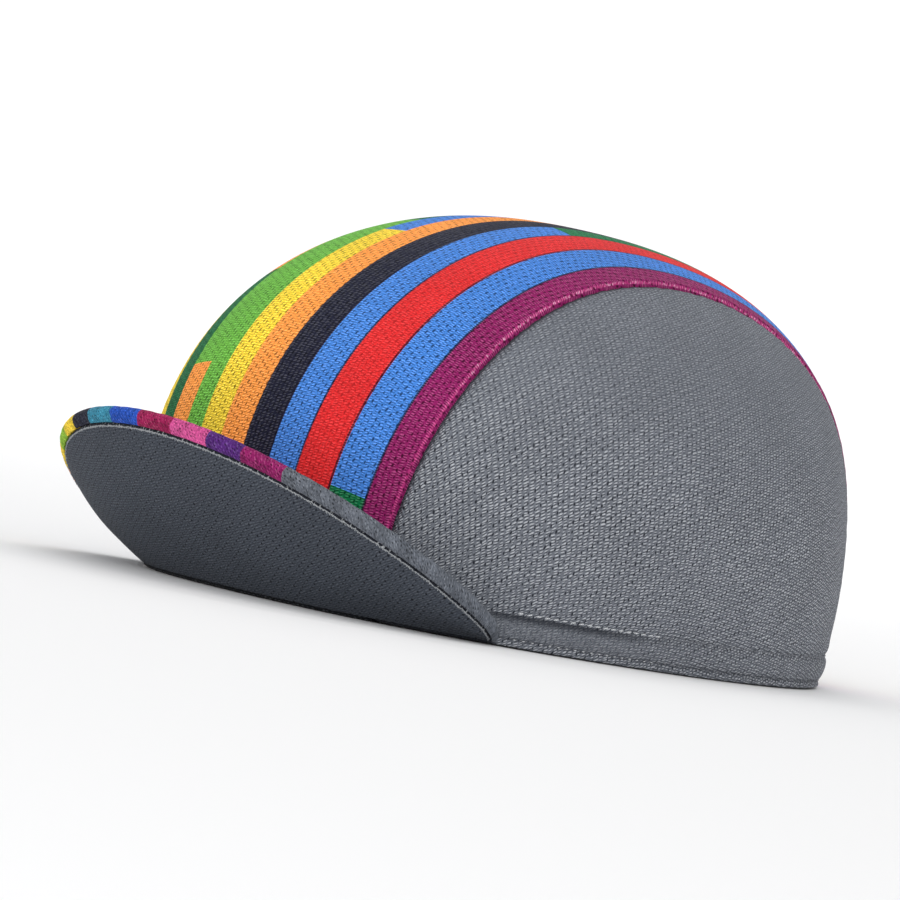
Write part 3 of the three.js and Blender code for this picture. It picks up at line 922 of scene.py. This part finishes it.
# Side panel: along the rim and the seam by rows, mixed from the rim up to the seam by columns
def sidePanelCloth(name, node, side):
    u = np.linspace(0, 1, sidePanel["long"])
    v = crowded(sidePanel["tall"], sidePanel["crowdTall"])
    over = np.pi * u
    seamWay = fanDirection(over, asideAngle(over, seamDistance(over) + seam["gap"] / 2))
    front, back = np.arctan2(seamWay[[0, -1], 0], -seamWay[[0, -1], 1])
    rimAround = mix(front, back, u)
    rimWay = polarDirection(rimAround, np.arctan2(crown["edgeLift"], rimRadius(rimAround)))
    direction = unit(mix(rimWay[:, None], seamWay[:, None], v[None, :, None]))
    direction[..., 2] = np.maximum(direction[..., 2], rimWay[:, None, 2])
    direction = unit(direction)
    flat = crownPoint(direction)
    upward = runningLength(flat, 1)
    toSeam = upward[:, -1:] - upward
    alongSeam = runningLength(flat[:, -1], 0)[:, None]
    alongRim = runningLength(flat[:, 0], 0)[:, None]
    around = np.arctan2(direction[..., 0], -direction[..., 1])
    relief = hemRelief(flat[..., 2], around, alongRim + 0 * upward)
    relief = relief + ridged(toSeam, sidePanel["ridges"]) + seamPuckers(toSeam, alongSeam)
    relief = relief * softStep(0, sidePanel["flatUpTo"], upward[:, -1:])
    cloth = clothFromPole(direction, sidePanel["pole"])
    seamMap = np.stack([alongSeam + 0 * toSeam, toSeam], -1) / mm
    hemMap = np.stack([around / degree, flat[..., 2] / mm], -1)
    mirror = np.array([side, 1, 1])
    outer = crownPoint(direction, relief) * mirror
    inner = crownPoint(direction, np.full_like(upward, -crown["wall"])) * mirror
    piece = closedShell(name, outer, inner, {"cloth": cloth, "seam": seamMap, "hem": hemMap},
                        [greyMeshCloth, paleMeshCloth, boundEdgeCloth], sidePanel["roll"], welded=True,
                        edged=lambda i, j: j)
    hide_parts(node)


centrePanelCloth()
sidePanelCloth("side_panel_left_cloth", "side_panel_left", 1)
sidePanelCloth("side_panel_right_cloth", "side_panel_right", -1)
print("panels made")


# Peak

peak = {
    "cornerAngle": 57.5,
    "forward": 34.0 * mm,
    "rise": 39.5 * mm,
    "flare": 0.55,
    "roundness": 1.46,
    "camber": 2.6 * mm,
    "earlyRise": 0.4,
    "underThickness": 1.2 * mm,
    "topThickness": 1.5 * mm,
    "lipWidth": 3.4 * mm,
    "lipCornerShare": 0.45,
    "lipPuff": 0.12 * mm,
    "groove": 0.25 * mm,         # the under cloth stops this much short of the gap beside the lip
    "layerGap": 0.35 * mm,
    "lift": 0.9 * mm,
    "seamStretch": 1.4,
    "endShare": 0.975,
    "endThickness": 0.6,         # the share of the thickness left at the corners
    "edgeBulge": 1.35 * mm,      # how far the rolled free edge is rounded over
    "long": 300,
    "topPlaces": 30,             # places across the upper face, round the edge and along the hidden step
    "edgePlaces": 15,
    "hiddenPlaces": 20,
    "lumps": 0.10 * mm,
    "underPlaces": 48,
    "underDraw": 0.13 * mm,      # the under cloth is drawn in ripples beside the lip and waves further in
    "underDrawReach": 3.5 * mm,
    "underWaves": 0.35 * mm,
}


# Seam of the peak on the crown: a crown point at a height above the rim, just outside the cloth
def peakSeam(share, height):
    around = share * peak["cornerAngle"] * degree
    up = np.arctan2(height, rimRadius(around))
    return crownPoint(polarDirection(around, up), seam["proud"] + seam["gap"])


# Free edge: x = corner sin(turn)(1 + flare cos), y runs forward by cos^roundness, z rises with cos
def peakEdge(share):
    turn = share * np.pi / 2
    centre = np.maximum(np.cos(turn), 0)
    corner = peakSeam(np.array(1.0), peak["lift"])
    cornerY = corner[1] - crown["middleY"]
    depth = crown["frontReach"] + peak["forward"] + cornerY
    x = corner[0] * np.sin(turn) * (1 + peak["flare"] * centre)
    y = cornerY - depth * centre ** peak["roundness"] + crown["middleY"]
    z = peak["lift"] + peak["rise"] * (peak["earlyRise"] * centre + (1 - peak["earlyRise"]) * centre**2)
    return np.stack([x, y, z], -1)


# Way square to the sheet at its free edge: outward crossed with the way along the edge
def peakNormal(share):
    step = 0.01
    alongEdge = peakEdge(share + step) - peakEdge(share - step)
    outward = peakEdge(share) - peakSeam(share, peak["lift"])
    return unit(np.cross(outward, alongEdge))


# Peak point: straight from seam to edge at a height over the under face, bowed down by the camber
def peakPoint(share, outward, height):
    share, outward, height = np.broadcast_arrays(share, outward, height)
    start = peakSeam(share, peak["lift"] + height * peak["seamStretch"])
    normal = peakNormal(share)
    edge = peakEdge(share) + normal * height[..., None]
    bow = peak["camber"] * 4 * outward * (1 - outward) * np.cos(share * np.pi / 2)
    return mix(start, edge, outward[..., None]) - normal * bow[..., None]


# Width of the peak: the distance from its seam to its free edge
def peakWidth(share):
    return np.linalg.norm(peakEdge(share) - peakSeam(share, peak["lift"]), axis=-1)


# Width of the folded lip: full in the middle, narrower towards the corners by share^4
def peakLip(share):
    return peak["lipWidth"] * mix(1, peak["lipCornerShare"], share**4)


# Thickness at each share: less over the last 0.09 before the corners, by a soft step
def peakThinning(share):
    return mix(peak["endThickness"], 1, softStep(0, 0.09, 1 - np.abs(share)))


# Flat cloth coordinates on the peak: across by x, outward along the sheet's own slope
def peakClothPlace(points):
    slope = math.atan2(peak["rise"], peak["forward"])
    outward = -points[..., 1] * math.cos(slope) + points[..., 2] * math.sin(slope)
    return np.stack([points[..., 0], outward], -1) / mm


# The upper cloth's outline across the peak at each share: over the top, round the free edge in a
# half oval, under the lip and back along the hidden step, as places outward and heights
def peakTopOutline(share):
    width, lip = peakWidth(share)[:, None], peakLip(share)[:, None]
    step = peak["underThickness"] + peak["layerGap"]
    full = step + peak["topThickness"]
    bulge = peak["edgeBulge"]
    turn = np.linspace(np.pi / 2, -np.pi / 2, peak["edgePlaces"])[None]
    edge = 1 - (bulge - bulge * np.abs(np.cos(turn)) ** 0.8) / width
    # the lip from the edge inwards: the share of its width and its height
    lipWay = np.array([0.15, 0.4, 0.65, 0.88, 1.0, 1.04, 1.03])[None]
    lipRise = np.array([0.01, 0.02, 0.02, 0.06, 0.16, 0.40, step / mm])[None] * mm
    lipRise = lipRise - peak["lipPuff"] * np.sin(np.pi * np.clip(lipWay, 0, 1))
    upper = np.linspace(0, 0.97, peak["topPlaces"])[None] * (1 - bulge / width)
    under = 1 - (bulge * (1 - lipWay) + lip * lipWay) / width
    hidden = np.linspace(0.97, 0, peak["hiddenPlaces"])[None] * (1 - lip / width)
    outward = np.concatenate([upper, edge, under, hidden], axis=1)
    rounded = full / 2 + full / 2 * np.sin(turn)
    height = np.concatenate([full + 0 * upper[:1], rounded, lipRise, step + 0 * hidden[:1]], axis=1)
    return outward, np.broadcast_to(height, outward.shape)


# The upper cloth: its outline carried from one corner to the other and closed at both ends
def peakUpperCloth():
    share = np.linspace(-1, 1, peak["long"]) * peak["endShare"]
    outward, height = peakTopOutline(share)
    edgeRun = runningLength(peakEdge(share), 0)
    edgeRun = edgeRun - edgeRun.mean()
    lumps = peak["lumps"] * ripples(edgeRun * 0.8)[:, None] * softStep(0.8, 1.0, outward)
    points = peakPoint(share[:, None], outward, height * peakThinning(share)[:, None] + lumps)
    rows, columns = points.shape[:2]
    quads = np.vstack([gridQuads(rows, columns, wrapColumns=True), endFans(rows, columns)])
    hubs = np.stack([points[0].mean(0), points[-1].mean(0)])
    place = np.stack(np.broadcast_arrays(edgeRun[:, None], runningLength(points, 1)), -1) / mm
    place = np.vstack([place.reshape(-1, 2), place[0, :1], place[-1, :1]])
    piece = makePiece("peak_top_cloth", np.vstack([points.reshape(-1, 3), hubs]), quads,
                      {"cloth": place, "panel": place}, [peakTopCloth])
    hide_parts("peak_top")


# The under side: a mesh panel between the seam and the lip, with softly rolled borders
def peakUnderCloth():
    share = np.linspace(-1, 1, peak["long"])[:, None] * peak["endShare"]
    outward = crowded(peak["underPlaces"], 0.45)[None, :]
    inset = (peakLip(share) + peak["layerGap"] + peak["groove"]) / peakWidth(share)
    reach = (1 - inset) * outward
    thinning = peakThinning(share)
    edgeRun = runningLength(peakEdge(share[:, 0]), 0)[:, None]
    toEdge = (1 - inset - reach) * peakWidth(share)
    draw = peak["underDraw"] * np.exp(-toEdge / peak["underDrawReach"]) * ripples(edgeRun * 1.3)
    soft = peak["underWaves"] * np.sin(edgeRun / mm / 17) * np.sin(np.pi * outward) * np.sin(reach * 5 + 1)
    lower = peakPoint(share, reach, (0.08 * mm + draw + soft) * thinning)
    upper = peakPoint(share, reach, peak["underThickness"] * thinning + 0 * reach)
    panel = np.stack([edgeRun + 0 * reach, toEdge], -1) / mm
    piece = closedShell("peak_under_cloth", lower, upper, {"cloth": peakClothPlace(lower), "panel": panel},
                        [peakMeshCloth, peakMeshCloth], 0.25 * mm)
    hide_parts("peak_under")


peakUpperCloth()
peakUnderCloth()
print("peak made")


# Bands inside the rim

band = {
    "lift": 0.9 * mm,
    "depth": 2.4 * mm,           # the crown's wall and the clearance behind it
    "inset": 0.3 * mm,           # the faces end this much short of the rolled edges
}
sweatband = {
    "halfAngle": 149.0,
    "height": 17.0 * mm,
    "thickness": 2.0 * mm,
    "stitchHeight": 6.2 * mm,
    "long": 420,
    "tall": 34,
}
elastic = {
    "height": 18.0 * mm,
    "thickness": 2.4 * mm,
    "ribPitch": 3.0 * mm,
    "joinAt": 9 * mm,
    "long": 160,
    "tall": 36,
}


# Band on the inside of the crown between two angles round, its face in relief by height
def innerBand(name, node, start, end, spec, reliefOf, material):
    around = np.linspace(start, end, spec["long"])[:, None] * degree
    level = mix(band["lift"] + band["inset"], spec["height"] - band["inset"], crowded(spec["tall"], 0.4))
    up = np.arctan2(level[None, :], rimRadius(around))
    direction = polarDirection(around, up)
    back = crownPoint(direction, -band["depth"] + 0 * up)
    along = runningLength(back[:, spec["tall"] // 2], 0)[:, None]
    face = crownPoint(direction, -(band["depth"] + spec["thickness"] + reliefOf(along, level[None, :])))
    cloth = np.stack(np.broadcast_arrays(along, level[None, :]), -1) / mm
    piece = closedShell(name, face, back, {"cloth": cloth}, [material, material], 0.3 * mm)
    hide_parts(node)


# Sweatband relief: a soft pad, sin(pi t), with a stitched groove low down and ripples beside it
def sweatRelief(along, level):
    pad = 0.35 * mm * np.sin(np.pi * np.clip(level / sweatband["height"], 0, 1))
    groove = -0.5 * mm * bell(level, sweatband["stitchHeight"], 0.7 * mm)
    return pad + groove + 0.10 * mm * ripples(along) * bell(level, sweatband["stitchHeight"], 3 * mm)


# Elastic relief: the cover is gathered, so upright folds run over it, with a join near one end
def elasticRelief(along, level):
    folds = 0.22 * mm * ripples(along * 1.6) * np.sin(np.pi * np.clip(level / elastic["height"], 0, 1))
    ribs = 0.10 * mm * np.sin(2 * np.pi * level / elastic["ribPitch"])
    return folds + ribs - 0.5 * mm * bell(along, elastic["joinAt"], 0.6 * mm)


innerBand("sweatband_cloth", "sweatband", -sweatband["halfAngle"], sweatband["halfAngle"], sweatband,
          sweatRelief, sweatTowelCloth)
elasticStart = sweatband["halfAngle"] + seam["gap"] / crown["backReach"] / degree
innerBand("back_elastic_cloth", "back_elastic", elasticStart, 360 - elasticStart, elastic,
          elasticRelief, elasticBandCloth)
print("bands made")


# Seam allowances

allowance = {
    "width": 9.0 * mm,
    "thickness": 1.0 * mm,
    "lift": 2.0 * mm,
    "depth": 2.4 * mm,
    "curl": 0.25 * mm,
    "wave": 0.16 * mm,
    "long": 260,
    "across": 16,
    "threadPitch": 2.4 * mm,
    "thread": 0.34 * mm,
    "threadRun": 250 * mm,       # about the length of the seam, which sets the number of loops
    "threadSwing": 3.4 * mm,
    "threadSteps": 8,            # points for each loop
}


# Angle over the top at which the seam reaches a height, by repeated steps from a first guess
def overAtHeight(height, isBack):
    angle = np.array(0.2)
    for step in range(12):
        over = np.pi - angle if isBack else angle
        reach = crownPoint(fanDirection(over, asideAngle(over, seamDistance(over))))
        angle = np.arctan2(height * np.tan(angle), reach[..., 2])
    return float(np.pi - angle if isBack else angle)


# A strip under the seam, as wide as the allowance, at a depth below the crown
def allowancePlace(over, offset, depth, side):
    aside = asideAngle(over, seamDistance(over) + offset)
    return crownPoint(fanDirection(over, aside), -depth) * np.array([side, 1, 1])


allowanceStart = overAtHeight(sweatband["height"] + allowance["lift"], False)
allowanceEnd = overAtHeight(elastic["height"] + allowance["lift"], True)


# Seam allowance: its face curls in by the cube of the share out to the border, and waves with it
def seamAllowance(name, node, side):
    over = np.linspace(allowanceStart, allowanceEnd, allowance["long"])[:, None]
    offset = np.linspace(-0.5, 0.5, allowance["across"])[None, :] * (allowance["width"] - 0.6 * mm)
    over, offset = np.broadcast_arrays(over, offset)
    back = allowancePlace(over, offset, allowance["depth"] + 0 * over, side)
    along = runningLength(back[:, allowance["across"] // 2], 0)[:, None]
    out = 2 * np.abs(offset) / allowance["width"]
    relief = allowance["curl"] * out**3 + allowance["wave"] * ripples(along) * out
    face = allowancePlace(over, offset, allowance["depth"] + allowance["thickness"] + relief, side)
    cloth = np.stack([along + 0 * over, offset], -1) / mm
    piece = closedShell(name, face, back, {"cloth": cloth}, [paleMeshCloth, paleMeshCloth], 0.25 * mm)
    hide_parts(node)


# Overlock thread: a zigzag between the strip's border and a line inside it, over its face: a swing of
# half of 1 - cos(phase) inwards, and a little of sin(phase) along
def overlock(name, side, edge):
    steps = int(allowance["threadRun"] / allowance["threadPitch"]) * allowance["threadSteps"]
    over = np.linspace(allowanceStart + 0.01, allowanceEnd - 0.01, steps)
    phase = 2 * np.pi * np.arange(steps) / allowance["threadSteps"]
    inwards = (0.5 - 0.5 * np.cos(phase)) * allowance["threadSwing"]
    offset = edge * (allowance["width"] / 2 - 0.2 * mm - inwards)
    lift = allowance["depth"] + allowance["thickness"] + 0.45 * mm
    path = allowancePlace(over + 0.0028 * np.sin(phase), offset, np.full(steps, lift), side)
    hub = np.array([0, crown["middleY"], 0.03])
    threadAlong(name, path, unit(hub - path), allowance["thread"], threadPale)


for word, side in (("left", 1), ("right", -1)):
    seamAllowance(f"seam_allowance_{word}_cloth", f"seam_allowance_{word}", side)
    overlock(f"overlock_{word}_inner", side, -1)
    overlock(f"overlock_{word}_outer", side, 1)
print("seam allowances made")


# Stitches

hemStitch = {"pitch": 2.45 * mm, "length": 1.50 * mm, "thread": 0.40 * mm, "arch": 0.20 * mm}
edgeStitch = {"pitch": 2.45 * mm, "length": 0.9 * mm, "thread": 0.24 * mm, "arch": 0.06 * mm}
sweatStitch = {"pitch": 2.3 * mm, "length": 0.75 * mm, "thread": 0.34 * mm, "arch": 0.16 * mm}
peakStitch = {"pitch": 0.93 * mm, "length": 0.62 * mm, "thread": 0.20 * mm, "arch": 0.06 * mm}
pathSteps = 900


# Places at an even pitch along a path, with the way along it at each
def evenPlaces(path, pitch):
    length = runningLength(path, 0)
    count = int(length[-1] / pitch)
    at = (np.arange(count) + 0.5) * length[-1] / count
    places = np.stack([np.interp(at, length, path[:, k]) for k in range(3)], -1)
    ahead = np.stack([np.interp(at + 0.2 * mm, length, path[:, k]) for k in range(3)], -1)
    return places, unit(ahead - places)


# Stitches on the outside of the rim at a height, from one corner of the peak round the back
def rimStitches(name, height, size, sunk):
    around = np.linspace(hem["fullAngle"] - 2, 362 - hem["fullAngle"], pathSteps) * degree
    around = np.where(around > np.pi, around - 2 * np.pi, around)
    direction = polarDirection(around, np.arctan2(height, rimRadius(around)))
    backSeam = float(seamDistance(np.array(np.pi)))
    onCentre = softStep(-0.4 * mm, 0.4 * mm, backSeam - np.abs(crownPoint(direction)[:, 0]))
    onCentre = onCentre * (np.cos(around) < 0)
    path = crownPoint(direction, onCentre * seam["proudBehind"] - sunk)
    places, along = evenPlaces(path, size["pitch"])
    out = unit((places - np.array([0, crown["middleY"], 0])) * np.array([1, 1, 0.15]))
    tilt = 0.14 + 0.10 * np.sin(np.arange(len(places)) * 2.1)
    slanted = unit(along + tilt[:, None] * np.array([0, 0, 1.0]))
    # only the stitches near the peak's corners get the bright thread; the others get a darker copy of it,
    # painted shade
    turned = np.abs(np.arctan2(places[:, 0], crown["middleY"] - places[:, 1])) / degree
    bright = turned < hem["brightAngle"]
    for word, chosen, thread in (("front", bright, threadGrey), ("back", ~bright, threadShadedCopy)):
        stitchRow(f"{name}_{word}", places[chosen], slanted[chosen], out[chosen], size, thread)


# Stitches on the sweatband's face, almost to its ends
def sweatStitches():
    around = np.linspace(2 - sweatband["halfAngle"], sweatband["halfAngle"] - 2, pathSteps) * degree
    direction = polarDirection(around, np.arctan2(sweatband["stitchHeight"], rimRadius(around)))
    depth = band["depth"] + sweatband["thickness"] - 0.12 * mm
    places, along = evenPlaces(crownPoint(direction, np.full(pathSteps, -depth)), sweatStitch["pitch"])
    inward = unit((np.array([0, crown["middleY"], 0]) - places) * np.array([1, 1, 0]))
    stitchRow("sweatband_stitches", places, along, inward, sweatStitch, threadBrown)


# Short loops of the cut border of the peak's under side, uneven, beside the groove
def peakEdgeStitches():
    share = np.linspace(-0.965, 0.965, pathSteps)
    inset = (peakLip(share) + peak["layerGap"] + peak["groove"] + 0.42 * mm) / peakWidth(share)
    path = peakPoint(share, 1 - inset, 0.0 * mm)
    places, along = evenPlaces(path, peakStitch["pitch"])
    at = np.interp(runningLength(places, 0), runningLength(path, 0), share)
    normal = peakNormal(at)
    outward = unit(peakEdge(at) - peakSeam(at, peak["lift"]))
    number = np.arange(len(at))
    stray = np.sin(number * 2.4) + np.sin(number * 5.1 + 1)
    lift = 0.04 * mm * np.sin(number * 1.7)
    places = places + outward * (0.08 * mm * stray)[:, None] - normal * lift[:, None]
    heading = unit(along * (1.3 + 0.4 * np.sin(number * 3.3))[:, None] + outward * (0.35 * stray)[:, None])
    stitchRow("peak_edge_stitches", places, heading, -normal, peakStitch, threadEdge)


rimStitches("hem_stitches", hem["stitchHeight"], hemStitch, hem["groove"] - 0.22 * mm)
rimStitches("edge_stitches", hem["edgeHeight"], edgeStitch, 0.05 * mm)
sweatStitches()
peakEdgeStitches()
print("stitches made")


# Floor, lights and camera. Each is placed round the view's target or another point by its azimuth
# from the front and its elevation, both in degrees, and its distance in metres

studio = {
    "floorFront": 4.0,
    "floorDepth": 2.6,
    "floorWidth": 6.0,
    "bend": 1.6,
    "wall": 4.5,
    "paper": (0.93, 0.93, 0.935, 1),
    "skyStrength": 0.62,
}
view = {
    "azimuth": 51.0,
    "elevation": 1.0,
    "roll": 10.8,
    "distance": 1.846,
    "lens": 280.3,
    "target": (-0.0041, -0.0114, 0.0451),
}
lights = [
    {"name": "top box", "azimuth": 10, "elevation": 74, "distance": 2.0, "size": 1.8, "power": 7},
    {"name": "key box", "azimuth": 58, "elevation": 14, "distance": 2.4, "size": 1.5, "power": 17},
    {"name": "front box", "azimuth": -10, "elevation": 20, "distance": 2.4, "size": 1.5, "power": 7},
    {"name": "back box", "azimuth": 215, "elevation": 40, "distance": 2.6, "size": 1.4, "power": 5},
    {"name": "wall box", "azimuth": 51, "elevation": 48, "distance": 3.1, "size": 2.0, "power": 38,
     "about": (-3.11, 2.52, 0.3)},
]


# Floor that bends up into a wall behind: a profile of a line, a quarter round and a line
def studioFloor():
    turn = np.linspace(0, np.pi / 2, 24)
    back, bend = studio["floorDepth"], studio["bend"]
    profileY = np.concatenate([[-studio["floorFront"]], back + bend * np.sin(turn), [back + bend]])
    profileZ = np.concatenate([[0.0], bend - bend * np.cos(turn), [studio["wall"]]])
    heading = view["azimuth"] * degree
    x = np.array([-1.0, 1.0]) * studio["floorWidth"]
    along = np.array([-math.sin(heading), math.cos(heading), 0])
    side = np.array([math.cos(heading), math.sin(heading), 0])
    points = (profileY[:, None, None] * along + x[None, :, None] * side
              + profileZ[:, None, None] * np.array([0, 0, 1.0]))
    mesh = bpy.data.meshes.new("studio_floor")
    mesh.from_pydata(points.reshape(-1, 3).tolist(), [], gridQuads(len(profileY), 2).tolist())
    for polygon in mesh.polygons:
        polygon.use_smooth = True
    floor = bpy.data.objects.new("studio_floor", mesh)
    bpy.context.scene.collection.objects.link(floor)
    material = bpy.data.materials.new("pale studio paper")
    material.use_nodes = True
    shader = material.node_tree.nodes["Principled BSDF"]
    shader.inputs["Base Color"].default_value = studio["paper"]
    shader.inputs["Roughness"].default_value = 0.95
    shader.inputs["Specular IOR Level"].default_value = 0.1
    mesh.materials.append(material)


# Axes of something that looks at the target: its own right, up and back ways, the first two turned
# by the roll as cos right + sin up and cos up - sin right
def lookAxes(azimuth, elevation, roll=0.0):
    a, e, r = azimuth * degree, elevation * degree, roll * degree
    back = np.array([math.sin(a) * math.cos(e), -math.cos(a) * math.cos(e), math.sin(e)])
    right = np.array([math.cos(a), math.sin(a), 0.0])
    up = np.cross(back, right)
    return math.cos(r) * right + math.sin(r) * up, math.cos(r) * up - math.sin(r) * right, back


# A lamp or camera at the point plus back times distance, with the axes as its matrix's columns
def placeAround(obj, spec, roll=0.0):
    right, up, back = lookAxes(spec["azimuth"], spec["elevation"], roll)
    place = np.array(spec.get("about", view["target"])) + back * spec["distance"]
    obj.matrix_world = Matrix([[right[k], up[k], back[k], place[k]] for k in range(3)] + [[0, 0, 0, 1]])
    bpy.context.scene.collection.objects.link(obj)


# Round area lamps and an even white sky
def studioLights():
    for spec in lights:
        lamp = bpy.data.lights.new(spec["name"], "AREA")
        lamp.shape = "DISK"
        lamp.size = spec["size"]
        lamp.energy = spec["power"]
        placeAround(bpy.data.objects.new(spec["name"], lamp), spec)
    world = bpy.data.worlds.new("studio world")
    bpy.context.scene.world = world
    world.use_nodes = True
    sky = world.node_tree.nodes["Background"]
    sky.inputs["Color"].default_value = (1, 1, 1, 1)
    sky.inputs["Strength"].default_value = studio["skyStrength"]


# The camera at the photo's azimuth and roll, raised over the floor
def photoCamera():
    lens = bpy.data.cameras.new("photo camera")
    lens.lens = view["lens"]
    lens.sensor_width = 36
    lens.clip_end = 50
    camera = bpy.data.objects.new("photo camera", lens)
    placeAround(camera, view, view["roll"])
    bpy.context.scene.camera = camera


studioFloor()
studioLights()
photoCamera()
bpy.context.scene.view_settings.view_transform = "Standard"
print("studio made")
